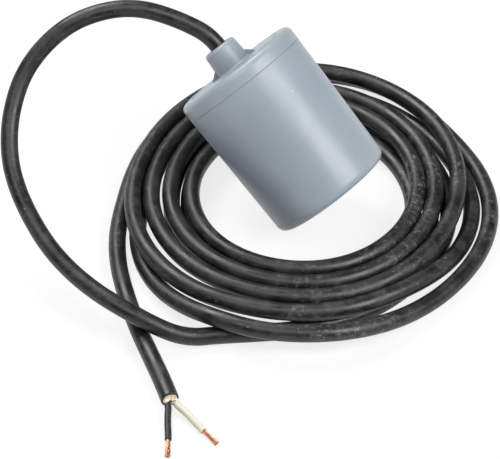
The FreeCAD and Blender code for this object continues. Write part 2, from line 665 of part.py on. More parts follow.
def make_switch_housing():
    depth = "(Sizes.switch_depth - Sizes.cover_thickness)"
    block = box("SwitchBlock", "Sizes.switch_length", depth, "Sizes.switch_height", "0",
                "Sizes.cover_thickness / 2", SWITCH_BOTTOM)
    room = box("SwitchRoom", "Sizes.switch_length - 2 * Sizes.switch_end_block",
               f"{depth} - Sizes.switch_wall", "Sizes.switch_height - 2 * Sizes.switch_wall", "0",
               "(Sizes.cover_thickness - Sizes.switch_wall) / 2", SWITCH_FLOOR)
    plunger_hole = cylinder("PlungerHole", "Sizes.plunger_radius + Sizes.plunger_hole_gap",
                            "Sizes.switch_wall", PLUNGER_PLACE, z=SWITCH_BOTTOM)
    slots = [box(f"TabSlot{side}", "Sizes.tab_thickness", "Sizes.tab_width", "Sizes.switch_wall",
                 f"{sign}{TAB_OFFSET}", "0", f"{SWITCH_TOP} - Sizes.switch_wall")
             for side, sign in (("Left", "-"), ("Right", ""))]
    screw_holes = switch_screw_cylinders("HousingHole", "Sizes.switch_screw_radius",
                                         depth, "Sizes.cover_thickness - Sizes.switch_depth / 2")
    tools = fuse("HousingTools", [room, plunger_hole] + slots + screw_holes)
    finish(cut("SwitchHousing", block, tools), "switch_housing")

    plate = box("CoverPlate", "Sizes.switch_length", "Sizes.cover_thickness", "Sizes.switch_height",
                "0", "-(Sizes.switch_depth - Sizes.cover_thickness) / 2", SWITCH_BOTTOM)
    cover_holes = switch_screw_cylinders("CoverHole", "Sizes.switch_screw_radius",
                                         "Sizes.cover_thickness", "-Sizes.switch_depth / 2")
    finish(cut("SwitchCover", plate, fuse("CoverHoles", cover_holes)), "switch_cover")

    shanks = switch_screw_cylinders("SwitchShank", "Sizes.switch_screw_radius",
                                    "Sizes.switch_depth + Sizes.bracket_thickness",
                                    "-Sizes.switch_depth / 2")
    heads = switch_screw_cylinders("SwitchHead", "Sizes.switch_screw_head_radius",
                                   "Sizes.switch_screw_head_height",
                                   "-Sizes.switch_depth / 2 - Sizes.switch_screw_head_height")
    screws = [fuse(f"SwitchScrew{index}", list(pair)) for index, pair in enumerate(zip(shanks, heads), 1)]
    finish(compound("SwitchScrews", screws), "switch_screws")


def make_switch_works():
    plunger_bottom = f"({LEVER_TOP_REST} + Sizes.plunger_gap)"
    plunger_top = f"({BLADE_HEIGHT} - Sizes.blade_thickness / 2 - Sizes.blade_gap)"
    stem = cylinder("PlungerStem", "Sizes.plunger_radius", f"{plunger_top} - {plunger_bottom}",
                    PLUNGER_PLACE, z=plunger_bottom)
    flange = cylinder("PlungerFlange", "Sizes.flange_radius", "Sizes.flange_thickness", PLUNGER_PLACE,
                      z=f"{SWITCH_FLOOR} + Sizes.flange_gap")
    finish(fuse("SwitchPlunger", [stem, flange]), "switch_plunger")

    blade_length = f"({TAB_OFFSET} + {CONTACT_PLACE} + Sizes.contact_radius)"
    strip = box("BladeStrip", blade_length, "Sizes.blade_width", "Sizes.blade_thickness",
                f"{blade_length} / 2 - {TAB_OFFSET}", "0", f"{BLADE_HEIGHT} - Sizes.blade_thickness / 2")
    rivet = cylinder("BladeContact", "Sizes.contact_radius", "Sizes.contact_height", CONTACT_PLACE,
                     z=f"{BLADE_HEIGHT} + Sizes.blade_thickness / 2")
    eye = cylinder("BladeEye", "Sizes.blade_eye_radius", "Sizes.blade_width", f"-{TAB_OFFSET}",
                   "-Sizes.blade_width / 2", BLADE_HEIGHT, ALONG_Y)
    bore = cylinder("BladeBore", "Sizes.blade_pin_radius + Sizes.blade_pin_gap", "Sizes.blade_width",
                    f"-{TAB_OFFSET}", "-Sizes.blade_width / 2", BLADE_HEIGHT, ALONG_Y)
    finish(cut("ContactBlade", fuse("BladeWhole", [strip, rivet, eye]), bore), "contact_blade")

    common_bottom = f"({BLADE_HEIGHT} + Sizes.blade_eye_radius + Sizes.tab_gap)"
    common = box("CommonTab", "Sizes.tab_thickness", "Sizes.tab_width", f"{TAB_TOP} - {common_bottom}",
                 f"-{TAB_OFFSET}", "0", common_bottom)
    bridge_width = "(Sizes.blade_width + 2 * Sizes.blade_side_gap + 2 * Sizes.cheek_thickness)"
    bridge = box("CommonBridge", "Sizes.cheek_length", bridge_width, "Sizes.cheek_thickness",
                 f"-{TAB_OFFSET}", "0", common_bottom)
    cheek_bottom = f"({BLADE_HEIGHT} - Sizes.cheek_length / 2)"
    cheek_place = "(Sizes.blade_width / 2 + Sizes.blade_side_gap + Sizes.cheek_thickness / 2)"
    cheeks = [box(f"Cheek{side}", "Sizes.cheek_length", "Sizes.cheek_thickness",
                  f"{common_bottom} - {cheek_bottom}", f"-{TAB_OFFSET}", f"{sign}{cheek_place}",
                  cheek_bottom) for side, sign in (("Left", ""), ("Right", "-"))]
    pin = cylinder("BladePin", "Sizes.blade_pin_radius", bridge_width, f"-{TAB_OFFSET}",
                   f"-{bridge_width} / 2", BLADE_HEIGHT, ALONG_Y)
    finish(fuse("CommonTerminal", [common, bridge, pin] + cheeks), "common_terminal")

    foot_bottom = f"({FIXED_CONTACT} + Sizes.contact_height)"
    tab = box("OpenTab", "Sizes.tab_thickness", "Sizes.tab_width", f"{TAB_TOP} - {foot_bottom}",
              TAB_OFFSET, "0", foot_bottom)
    foot_start = f"({CONTACT_PLACE} - Sizes.contact_radius)"
    foot_length = f"({TAB_OFFSET} + Sizes.tab_thickness / 2 - {foot_start})"
    foot = box("OpenFoot", foot_length, "Sizes.tab_width", "Sizes.tab_thickness",
               f"{foot_start} + {foot_length} / 2", "0", foot_bottom)
    fixed = cylinder("FixedContact", "Sizes.contact_radius", "Sizes.contact_height", CONTACT_PLACE,
                     z=FIXED_CONTACT)
    finish(fuse("OpenContactTerminal", [tab, foot, fixed]), "open_contact_terminal")


def make_crimp(name, label, sign):
    place = f"{sign}{TAB_OFFSET}"
    sleeve = box(f"{name}Sleeve", "Sizes.crimp_thickness", "Sizes.crimp_width", "Sizes.crimp_height",
                 place, "0", CRIMP_BOTTOM)
    barrel = cylinder(f"{name}Barrel", "Sizes.barrel_radius", "Sizes.barrel_height", place, z=CRIMP_TOP)
    slot = box(f"{name}Slot", "Sizes.tab_thickness", "Sizes.tab_width", f"{TAB_TOP} - {CRIMP_BOTTOM}",
               place, "0", CRIMP_BOTTOM)
    bore = cylinder(f"{name}Bore", CONDUCTOR_RADIUS, "Sizes.barrel_height", place, z=CRIMP_TOP)
    whole = fuse(f"{name}Whole", [sleeve, barrel])
    finish(cut(name, whole, fuse(f"{name}Hollow", [slot, bore])), label)


def tube(path, diameter, name):
    """A round tube along a wire of straight runs and tangent arcs, as a solid."""
    first = path.OrderedEdges[0]
    start = first.valueAt(first.FirstParameter)
    heading = first.tangentAt(first.FirstParameter)
    section = Part.Wire([Part.makeCircle(diameter / 2, start, heading)])
    solid = path.makePipeShell([section], True, False)
    expected = math.pi * diameter ** 2 / 4 * path.Length
    print(f"{name}: length {path.Length:.0f}, volume over section times length "
          f"{solid.Volume / expected:.4f}")
    return solid


def rounded_path(points, name):
    """Straight runs joined by tangent arcs, each as large as its two runs allow."""
    edges = []
    radii = []
    here = points[0]
    for before, corner, after in zip(points, points[1:], points[2:]):
        run_in, run_out = corner - before, after - corner
        turn = run_in.getAngle(run_out)
        setback = 0.45 * min(run_in.Length, run_out.Length)
        radii.append(setback / math.tan(turn / 2))
        arc_start = corner - run_in * (setback / run_in.Length)
        arc_end = corner + run_out * (setback / run_out.Length)
        inward = (run_out / run_out.Length - run_in / run_in.Length).normalize()
        middle = corner + inward * (radii[-1] / math.cos(turn / 2) - radii[-1])
        edges.append(Part.LineSegment(here, arc_start).toShape())
        edges.append(Part.Arc(arc_start, middle, arc_end).toShape())
        here = arc_end
    edges.append(Part.LineSegment(here, points[-1]).toShape())
    print(f"{name}: radii {[round(radius) for radius in radii]}")
    return Part.Wire(edges)


def free_tube(points, diameter, name):
    return tube(rounded_path(points, name), diameter, name)


def feature(name, label, shape, placement=UPRIGHT):
    holder = doc.addObject("Part::Feature", name)
    holder.Shape = shape
    return finish(holder, label, placement)


def make_inner_lead(name, label, side):
    """A conductor from a barrel to the jacket's end, in two equal bends."""
    start_x = side * number(TAB_OFFSET)
    end_x = side * size("conductor_spacing") / 2
    straight = size("lead_straight")
    bottom, bend_start = number(CRIMP_TOP), number(BARREL_TOP) + straight
    top = number(JACKET_END)
    bend_end = top - straight
    across, rise = start_x - end_x, bend_end - bend_start
    middle = Vector((start_x + end_x) / 2, 0, (bend_start + bend_end) / 2)
    angle = 2 * math.atan(abs(across) / rise)
    radius = rise / (2 * math.sin(angle))
    print(f"{label}: bend radius {radius:.1f}")
    lean = math.copysign(radius * (1 - math.cos(angle / 2)), across)
    lift = radius * math.sin(angle / 2)
    path = Part.Wire([
        Part.LineSegment(Vector(start_x, 0, bottom), Vector(start_x, 0, bend_start)).toShape(),
        Part.Arc(Vector(start_x, 0, bend_start), Vector(start_x - lean, 0, bend_start + lift),
                 middle).toShape(),
        Part.Arc(middle, Vector(end_x + lean, 0, bend_end - lift), Vector(end_x, 0, bend_end)).toShape(),
        Part.LineSegment(Vector(end_x, 0, bend_end), Vector(end_x, 0, top)).toShape(),
    ])
    feature(name, label, tube(path, size("conductor_diameter"), label), FLOAT_PLACE)


def ease(turn, start, end):
    """A smooth step from 0 at start to 1 at end."""
    share = min(max((turn - start) / (end - start), 0.0), 1.0)
    return share * share * (3 - 2 * share)


def coil_point(turn):
    """The cord's centre line in the coil, with turn counted from +X."""
    layer = size("cord_diameter") + size("coil_layer_gap")
    wound = math.hypot(min(turn, SPIRAL_END) - REVERSE_TURN, REVERSE_ROUNDING)
    fanned = FIRST_FAN + sum(change * ease(turn, start, end) for start, end, change in FAN_STEPS)
    pitch = size("cord_diameter") + size("coil_turn_gap")
    radius = size("coil_least_radius") + pitch * (wound + fanned)
    level = sum(change * ease(turn, start, end) for start, end, change in LAYER_STEPS)
    shift = sum(change * ease(turn, start, end) for start, end, change in SHIFT_STEPS)
    angle = 2 * math.pi * turn
    oval = size("coil_oval")
    return Vector(
        size("coil_centre_x") + size("upper_shift_x") * shift + radius * (1 - oval) * math.cos(angle),
        size("coil_centre_y") + size("upper_shift_y") * shift + radius * (1 + oval) * math.sin(angle),
        size("cord_diameter") / 2 + layer * level)


def coil_heading(turn):
    step = 1e-4
    return (coil_point(turn + step) - coil_point(turn - step)).normalize()


def arc_from(start, heading, end):
    """The arc that leaves start along heading and ends at end, and its last heading."""
    chord = end - start
    way = chord / chord.Length
    last_heading = way * (2 * heading.dot(way)) - heading
    half_turn = heading.getAngle(way)
    outward = (heading - way * heading.dot(way)).normalize()
    middle = start + chord / 2 + outward * (chord.Length / 2 * math.tan(half_turn / 2))
    return Part.Arc(start, middle, end), last_heading


def biarc(start, first_heading, end, last_heading):
    """Two arcs that join two points with the headings asked for."""
    span = end - start
    both = first_heading + last_heading
    spread_factor = 2 * (1 - first_heading.dot(last_heading))
    reach = span.dot(both)
    handle = (math.sqrt(reach ** 2 + spread_factor * span.dot(span)) - reach) / spread_factor
    joint = (start + end + (first_heading - last_heading) * handle) / 2
    first, heading = arc_from(start, first_heading, joint)
    second, _ = arc_from(joint, heading, end)
    return [first, second]


def coil_path():
    """Short biarcs, the same share of a turn each, with a straight of one diameter at each end."""
    count = round((LAST_TURN - FIRST_TURN) * BIARCS_PER_TURN)
    turns = [FIRST_TURN + (LAST_TURN - FIRST_TURN) * index / count for index in range(count + 1)]
    places = [coil_point(turn) for turn in turns]
    headings = [coil_heading(turn) for turn in turns]
    arcs = []
    for index in range(count):
        arcs += biarc(places[index], headings[index], places[index + 1], headings[index + 1])
    straight = size("cord_diameter")
    coil_start = places[0] - headings[0] * straight
    coil_end = places[-1] + headings[-1] * straight
    lines = [Part.LineSegment(coil_start, places[0]), Part.LineSegment(places[-1], coil_end)]
    bends = [arc.toShape() for arc in arcs]
    print(f"cord_coil: least radius {min(bend.Curve.Radius for bend in bends):.1f}")
    return Part.Wire([lines[0].toShape()] + bends + [lines[1].toShape()]), coil_start, coil_end


def least_gap(path, diameter):
    """The least gap between two turns of a tube, measured on points along its centre line."""
    points = path.discretize(Distance=2.0)
    skip = int(6 * diameter / 2.0)
    cell = diameter * 1.5
    grid = {}
    least = 1e9
    for index, point in enumerate(points):
        key = (int(point.x // cell), int(point.y // cell))
        for column in range(key[0] - 1, key[0] + 2):
            for line in range(key[1] - 1, key[1] + 2):
                for other in grid.get((column, line), []):
                    if index - other > skip:
                        least = min(least, point.distanceToPoint(points[other]))
        grid.setdefault(key, []).append(index)
    return least - diameter


def with_floor(points, height):
    return [Vector(x, y, height if z is FLOOR else z) for x, y, z in points]


def make_cord():
    diameter = size("cord_diameter")
    path, coil_start, coil_end = coil_path()
    gap = least_gap(path, diameter)
    print(f"cord_coil: least gap to itself {gap:.2f}")
    if gap < 0:
        raise RuntimeError("the coil's turns come too near to each other")
    feature("CordCoil", "cord_coil", tube(path, diameter, "cord_coil"))

    mouth = in_world(0, 0, number(MOUTH))
    floor = diameter / 2
    lead = [mouth, mouth + AXIS * size("exit_run")] + with_floor(LEAD_POINTS, floor)
    lead += [coil_start - coil_heading(FIRST_TURN) * COIL_ENTRY_RUN, coil_start]
    feature("CordLead", "cord_lead", free_tube(lead, diameter, "cord_lead"))
    tail = [coil_end, coil_end + coil_heading(LAST_TURN) * COIL_EXIT_RUN] + with_floor(TAIL_POINTS, floor)
    feature("CordTail", "cord_tail", free_tube(tail, diameter, "cord_tail"))
    print(f"coil from {coil_start} to {coil_end}")
    return tail[-1], (tail[-1] - tail[-2]).normalize()


def make_stripped_end(end, heading):
    """The two conductors, their bare strands and the filler at the cut end of the jacket."""
    aside = Vector(0, 0, 1).cross(heading)
    spacing = size("conductor_spacing") / 2
    wire = size("conductor_diameter")
    wires = (("Black", "black", -spacing, BLACK_WIRE_POINTS, BLACK_BARE_END),
             ("White", "white", spacing, WHITE_WIRE_POINTS, WHITE_BARE_END))
    for name, colour, offset, points, bare_end in wires:
        start = end + aside * offset
        tip = Vector(*points[-1])
        along = (Vector(*bare_end) - tip).normalize()
        route = [start, start + heading * WIRE_EXIT_RUN] + [Vector(*point) for point in points[:-1]]
        route += [tip - along * WIRE_END_RUN, tip]
        label = f"tail_wire_{colour}"
        feature(f"TailWire{name}", label, free_tube(route, wire, label))
        strands = Part.makeCylinder(size("strand_diameter") / 2, size("bare_length"), tip, along)
        feature(f"TailStrands{name}", f"tail_strands_{colour}", strands)
        print(f"tail_strands_{colour}: from {tip} along {along}")
    filler = Part.makeCylinder(size("filler_diameter") / 2, size("filler_length"), end, heading)
    for offset in (-spacing, spacing):
        filler = filler.cut(Part.makeCylinder(wire / 2, size("filler_length"), end + aside * offset, heading))
    feature("TailFiller", "tail_filler", filler)


make_float_body()
make_end_cap()
make_seals()
make_ball_tube()
make_carrier_plate()
finish(compound("CarrierScrews", at_posts("CarrierScrew", make_carrier_screw)), "carrier_screws")
make_lever()
make_switch_housing()
make_switch_works()
make_crimp("CrimpBlack", "crimp_black", "-")
make_crimp("CrimpWhite", "crimp_white", "")
doc.recompute()
make_inner_lead("InnerLeadBlack", "inner_lead_black", -1)
make_inner_lead("InnerLeadWhite", "inner_lead_white", 1)
make_stripped_end(*make_cord())
doc.recompute()

for item in doc.Objects:
    if {"Invalid", "Error"} & set(item.State):
        raise RuntimeError(f"{item.Name} failed: {item.State}")
for part in sub_parts:
    if part.Shape.isNull() or not part.Shape.isValid():
        raise RuntimeError(f"{part.Label} has no valid shape")

os.makedirs("parts", exist_ok=True)
for part in sub_parts:
    part.Shape.exportStep(f"parts/{part.Label}.step")

blade_angle = math.degrees(math.atan(number(PLUNGER_RISE) / number(BLADE_ARM)))
print(f"{len(sub_parts)} sub-parts")
print(f"axis {AXIS}, across {TURN.multVec(Vector(0, 1, 0))}")
print(f"mouth {in_world(0, 0, number(MOUTH))}, closed end {in_world(0, 0, 0)}")
print(f"ball {in_world(0, 0, number(BALL_REST))}, travel {size('ball_travel')}")
print(f"lever pivot {in_world(size('pivot_offset'), 0, number(PIVOT_HEIGHT))}, swing {size('lever_swing')}")
print(f"plunger {in_world(number(PLUNGER_PLACE), 0, number(SWITCH_BOTTOM))}, rise {number(PLUNGER_RISE):.4f}")
print(f"blade pivot {in_world(-number(TAB_OFFSET), 0, number(BLADE_HEIGHT))}, angle {blade_angle:.4f}")
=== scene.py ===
"""Tethered pump float switch on its coiled cord: camera, cord, stripped end, materials and light.

Everything is in metres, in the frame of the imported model: +Z up, origin on the floor under the middle
of the float's box, unless a comment says millimetres. The cord's route repeats the route in part.py.
"""

import json
import math
import random

import bpy
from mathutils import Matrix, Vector


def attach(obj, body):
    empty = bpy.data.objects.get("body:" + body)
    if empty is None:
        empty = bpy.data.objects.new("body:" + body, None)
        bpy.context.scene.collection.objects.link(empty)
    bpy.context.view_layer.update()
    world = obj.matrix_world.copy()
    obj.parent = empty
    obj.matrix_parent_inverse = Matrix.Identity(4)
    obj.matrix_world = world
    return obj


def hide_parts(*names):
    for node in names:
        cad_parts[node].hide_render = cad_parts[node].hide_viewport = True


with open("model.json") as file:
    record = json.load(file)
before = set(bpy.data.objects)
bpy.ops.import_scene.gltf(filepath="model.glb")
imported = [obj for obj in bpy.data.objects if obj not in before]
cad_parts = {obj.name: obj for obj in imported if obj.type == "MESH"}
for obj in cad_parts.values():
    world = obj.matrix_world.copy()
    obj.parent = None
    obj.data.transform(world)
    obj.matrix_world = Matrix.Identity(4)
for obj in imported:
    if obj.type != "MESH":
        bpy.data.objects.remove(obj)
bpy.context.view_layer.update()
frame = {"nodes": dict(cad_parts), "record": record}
nodes = frame["nodes"]
MM = 0.001

# Camera: aimed at the middle of the photographed scene
CAMERA_TARGET = Vector((-20.45, -25.13, 0.0)) * MM
CAMERA_DISTANCE = 1250 * MM
CAMERA_ELEVATION = 42.0
CAMERA_LENS = 140.67
CAMERA_SENSOR = 36.0


def add_camera():
    """The scene's camera, with no roll, shift or blur."""
    data = bpy.data.cameras.new("camera")
    data.lens = CAMERA_LENS
    data.sensor_width = CAMERA_SENSOR
    data.clip_start = 0.05
    data.clip_end = 20.0
    camera = bpy.data.objects.new("camera", data)
    elevation = math.radians(CAMERA_ELEVATION)
    back = Vector((0.0, -math.cos(elevation), math.sin(elevation)))
    camera.location = CAMERA_TARGET + back * CAMERA_DISTANCE
    camera.rotation_euler = (math.pi / 2 - elevation, 0.0, 0.0)
    bpy.context.scene.collection.objects.link(camera)
    bpy.context.scene.camera = camera


add_camera()

# The float's axis, from its closed end to its cap, and the mouth of the cap's boss on it
AXIS = Vector((-0.6161507, 0.4298327, 0.6600017))
MOUTH = Vector((-40.3687, 27.8396, 106.1739)) * MM
UP = Vector((0.0, 0.0, 1.0))

# The cord's route in millimetres, as in part.py but with fewer points in its first bend, which more
# would make too tight. FLOOR is the height of a cord that lies on the floor.
CORD_DIAMETER = 10.9
FLOOR = CORD_DIAMETER / 2
EXIT_RUN = 8.5
LEAD_POINTS = [
    (-60.0, 35.6, 118.2), (-77.2, 37.3, 124.9),
    (-88.9, 37.7, 127.6), (-101.0, 37.0, 128.4), (-113.8, 35.0, 126.9), (-126.8, 31.9, 123.4),
    (-139.0, 28.2, 116.8), (-151.0, 22.5, 107.0), (-161.0, 13.5, 96.0), (-167.0, 2.0, 84.0),
    (-170.0, -12.0, 71.5), (-169.0, -27.5, 59.0), (-163.5, -43.0, 48.0), (-154.0, -60.5, 39.0),
    (-142.0, -79.0, 32.5), (-128.0, -94.5, 27.5), (-114.0, -107.0, 24.5), (-101.5, -116.5, 22.8),
    (-89.5, -123.0, 19.8), (-77.0, -127.0, 14.4), (-65.0, -128.6, 8.8), (-53.0, -127.7, FLOOR),
    (-41.5, -125.9, FLOOR), (-18.0, -124.2, FLOOR),
]
TAIL_POINTS = [
    (-103.9, -23.5, FLOOR), (-104.6, -44.0, FLOOR), (-102.0, -68.0, FLOOR), (-96.0, -93.0, FLOOR),
    (-88.2, -119.5, FLOOR), (-79.6, -142.5, FLOOR), (-71.4, -164.0, FLOOR), (-66.9, -178.2, FLOOR),
]
COIL_ENTRY_RUN = 22.9
COIL_EXIT_RUN = 24.9

# The coil in millimetres, as in part.py. The radius grows by COIL_PITCH for each turn away from
# REVERSE_TURN. Each step of the lists below is its first turn, its last turn and the change over it:
# of the radius in pitches, of the height in layers, and of the middle in upper shifts.
COIL_CENTRE = (17.9, -4.4)
COIL_LEAST_RADIUS = 67.0
COIL_OVAL = 0.05
COIL_PITCH = 12.0
COIL_LAYER = 11.55
UPPER_SHIFT = (-6.2, 4.5)
FIRST_TURN = 0.77
LAST_TURN = 8.47
REVERSE_TURN = 3.22
REVERSE_ROUNDING = 0.15
SPIRAL_END = 6.72
FIRST_FAN = 1.20
FAN_STEPS = [
    (0.68, 0.90, -1.16), (1.05, 1.35, 0.46), (1.60, 1.95, -0.46), (2.05, 2.35, 0.46),
    (2.60, 2.90, -0.50), (3.25, 3.55, 0.45), (3.58, 3.76, -0.20), (4.43, 4.56, 0.26),
    (4.58, 4.75, -0.26), (5.42, 5.55, 0.32), (5.58, 5.74, -0.32), (5.90, 6.12, 0.72),
    (6.20, 6.42, -0.67), (6.45, 6.58, 0.50), (6.61, 6.73, -0.50), (6.83, 6.95, -0.28),
    (6.95, 7.00, 0.08), (7.00, 7.07, -0.32), (7.12, 7.30, 0.20), (7.455, 7.60, 1.38),
    (7.60, 7.66, 0.23), (7.68, 7.74, -0.22), (7.74, 7.86, -0.74), (7.86, 7.99, 0.48),
    (8.00, 8.085, -0.38), (8.09, 8.20, 0.88), (8.27, 8.42, -0.40),
]
LAYER_STEPS = [(2.97, 3.47, 1), (6.83, 6.96, -1), (7.60, 7.675, 1), (7.75, 7.87, -1)]
SHIFT_STEPS = [(3.22, 3.72, 1), (6.83, 6.98, -1)]
POINTS_PER_TURN = 30
# A spline runs inside its control points, so in the coil they lie further out by this factor.
OUTWARD = 4 / (3 + math.cos(2 * math.pi / POINTS_PER_TURN))


def ease(turn, start, end):
    """A smooth step from 0 at start to 1 at end."""
    share = min(max((turn - start) / (end - start), 0.0), 1.0)
    return share * share * (3 - 2 * share)


def stepped(turn, steps):
    """The sum of the steps' changes up to this turn."""
    return sum(change * ease(turn, start, end) for start, end, change in steps)


def coil_point(turn, outward=1.0):
    """The cord's centre line in the coil, in millimetres, with turn counted from +X."""
    wound = math.hypot(min(turn, SPIRAL_END) - REVERSE_TURN, REVERSE_ROUNDING)
    fanned = FIRST_FAN + stepped(turn, FAN_STEPS)
    radius = outward * (COIL_LEAST_RADIUS + COIL_PITCH * (wound + fanned))
    level = stepped(turn, LAYER_STEPS)
    shift = stepped(turn, SHIFT_STEPS)
    angle = 2 * math.pi * turn
    return Vector((COIL_CENTRE[0] + UPPER_SHIFT[0] * shift + radius * (1 - COIL_OVAL) * math.cos(angle),
                   COIL_CENTRE[1] + UPPER_SHIFT[1] * shift + radius * (1 + COIL_OVAL) * math.sin(angle),
                   FLOOR + COIL_LAYER * level))


def coil_heading(turn):
    """The cord's direction at this turn of the coil."""
    step = 1e-4
    return (coil_point(turn + step) - coil_point(turn - step)).normalized()


def cord_route():
    """The control points of the whole cord, in metres."""
    mouth = MOUTH / MM
    points = [mouth, mouth + AXIS * EXIT_RUN] + [Vector(point) for point in LEAD_POINTS]
    points.append(coil_point(FIRST_TURN) - coil_heading(FIRST_TURN) * COIL_ENTRY_RUN)
    steps = round((LAST_TURN - FIRST_TURN) * POINTS_PER_TURN)
    points += [coil_point(FIRST_TURN + step / POINTS_PER_TURN, OUTWARD) for step in range(steps + 1)]
    points.append(coil_point(LAST_TURN) + coil_heading(LAST_TURN) * COIL_EXIT_RUN)
    points += [Vector(point) for point in TAIL_POINTS]
    return [point * MM for point in points]


def nurbs_curve(name, points, radius, resolution, sides):
    """A round tube along a smooth open spline with these control points."""
    data = bpy.data.curves.new(name, "CURVE")
    data.dimensions = "3D"
    data.bevel_depth = radius
    data.bevel_resolution = sides
    data.use_fill_caps = True
    spline = data.splines.new("NURBS")
    spline.points.add(len(points) - 1)
    for control, point in zip(spline.points, points):
        control.co = (*point, 1.0)
    spline.order_u = 3
    spline.use_endpoint_u = True
    spline.resolution_u = resolution
    curve = bpy.data.objects.new(name, data)
    bpy.context.scene.collection.objects.link(curve)
    return curve


# Materials


class Nodes:
    """A short way to add shader nodes and join them."""

    def __init__(self, name):
        self.material = bpy.data.materials.new(name)
        self.material.use_nodes = True
        self.tree = self.material.node_tree
        self.shader = next(node for node in self.tree.nodes if node.type == "BSDF_PRINCIPLED")
        self.place = self.add("ShaderNodeTexCoord").outputs["Object"]

    def add(self, kind, **settings):
        node = self.tree.nodes.new(kind)
        for name, value in settings.items():
            setattr(node, name, value)
        return node

    def join(self, source, target):
        self.tree.links.new(source, target)

    def feed(self, socket, value):
        """Joins a socket to a node's output, or sets it to a number."""
        if isinstance(value, bpy.types.NodeSocket):
            self.join(value, socket)
        else:
            socket.default_value = value

    def mapped(self, place, setting, value):
        """The place with one of a mapping's settings put to this value."""
        mapping = self.add("ShaderNodeMapping")
        self.join(place, mapping.inputs["Vector"])
        mapping.inputs[setting].default_value = value
        return mapping.outputs["Vector"]

    def moved(self, place, offset):
        return self.mapped(place, "Location", offset)

    def stretched(self, place, scale):
        return self.mapped(place, "Scale", scale)

    def noise(self, scale, detail=2.0, roughness=0.5, place=None):
        texture = self.add("ShaderNodeTexNoise")
        self.join(place or self.place, texture.inputs["Vector"])
        texture.inputs["Scale"].default_value = scale
        texture.inputs["Detail"].default_value = detail
        texture.inputs["Roughness"].default_value = roughness
        return texture.outputs["Fac"]

    def cells(self, scale, place=None):
        """Distance to the nearest of scattered points, and that point's random colour."""
        texture = self.add("ShaderNodeTexVoronoi")
        self.join(place or self.place, texture.inputs["Vector"])
        texture.inputs["Scale"].default_value = scale
        return texture.outputs["Distance"], texture.outputs["Color"]

    def spread(self, value, low, high, start=0.0, end=1.0):
        """Maps low to high onto start to end, smoothly and clamped."""
        node = self.add("ShaderNodeMapRange", interpolation_type="SMOOTHSTEP")
        self.feed(node.inputs["Value"], value)
        node.inputs["From Min"].default_value = low
        node.inputs["From Max"].default_value = high
        node.inputs["To Min"].default_value = start
        node.inputs["To Max"].default_value = end
        return node.outputs["Result"]

    def math(self, operation, first, second):
        node = self.add("ShaderNodeMath", operation=operation)
        self.feed(node.inputs[0], first)
        self.feed(node.inputs[1], second)
        return node.outputs["Value"]

    def mix(self, share, first, second):
        """A colour between two colours, each a linear colour or a node's output."""
        node = self.add("ShaderNodeMix", data_type="RGBA")
        self.feed(node.inputs["Factor"], share)
        sockets = [socket for socket in node.inputs if socket.type == "RGBA"]
        for socket, colour in zip(sockets, (first, second)):
            if isinstance(colour, bpy.types.NodeSocket):
                self.join(colour, socket)
            else:
                socket.default_value = (*colour, 1.0)
        return next(socket for socket in node.outputs if socket.type == "RGBA")

    def specks(self, scale, inner, outer, picked_share, place=None):
        """1 inside scattered specks, fading to 0 from inner to outer: picked_share of the cells have one."""
        distance, chance = self.cells(scale, place)
        near = self.spread(distance, inner, outer, 1.0, 0.0)
        picked = self.math("LESS_THAN", chance, picked_share)
        return self.math("MULTIPLY", near, picked)

    def bump(self, height, strength, distance):
        node = self.add("ShaderNodeBump")
        self.join(height, node.inputs["Height"])
        node.inputs["Strength"].default_value = strength
        node.inputs["Distance"].default_value = distance
        self.join(node.outputs["Normal"], self.shader.inputs["Normal"])

    def set(self, **values):
        """Sets or joins the shader's sockets: Base_Color is the socket Base Color."""
        for name, value in values.items():
            socket = self.shader.inputs[name.replace("_", " ")]
            if isinstance(value, tuple):
                socket.default_value = (*value, 1.0)
            else:
                self.feed(socket, value)


def moulded_plastic(name, colour, roughness, scale):
    """Moulded plastic with faint flow marks and a fine grain."""
    made = Nodes(name)
    clouds = made.noise(28 / scale, 3.0)
    darker = tuple(channel * 0.90 for channel in colour)
    lighter = tuple(min(1.0, channel * 1.07) for channel in colour)
    shade = made.mix(made.spread(clouds, 0.3, 0.7), darker, lighter)
    worn = made.noise(90 / scale, 3.0)
    made.set(Base_Color=shade, Roughness=made.spread(worn, 0.3, 0.75, roughness - 0.05, roughness + 0.06))
    made.bump(made.noise(900 / scale, 3.0), strength=0.10, distance=0.0002)
    return made.material


def float_plastic():
    """The float's grey skin: satin, a little cloudy, with scuffs and a few dark and pale specks."""
    made = Nodes("float_plastic")
    clouds = made.noise(16.0, 3.0)
    shade = made.mix(made.spread(clouds, 0.32, 0.68), (0.258, 0.302, 0.342), (0.298, 0.342, 0.384))
    streaks = made.noise(70.0, 5.0, 0.62, made.stretched(made.place, (1.0, 1.0, 0.25)))
    shade = made.mix(made.spread(streaks, 0.60, 0.82, 0.0, 0.30), shade, (0.40, 0.435, 0.465))
    specks = made.specks(130.0, inner=0.020, outer=0.055, picked_share=0.34)
    shade = made.mix(specks, shade, (0.07, 0.075, 0.08))
    nick_place = made.stretched(made.moved(made.place, (0.031, 0.017, 0.009)), (1.0, 1.0, 0.4))
    nicks = made.specks(100.0, inner=0.020, outer=0.050, picked_share=0.30, place=nick_place)
    shade = made.mix(nicks, shade, (0.55, 0.57, 0.59))
    made.set(Base_Color=shade, Roughness=made.spread(streaks, 0.3, 0.8, 0.32, 0.43))
    grain = made.math("MULTIPLY", made.noise(1100.0, 2.0), 0.012)
    made.bump(made.math("ADD", made.noise(22.0, 2.0), grain), strength=0.35, distance=0.0012)
    return made.material


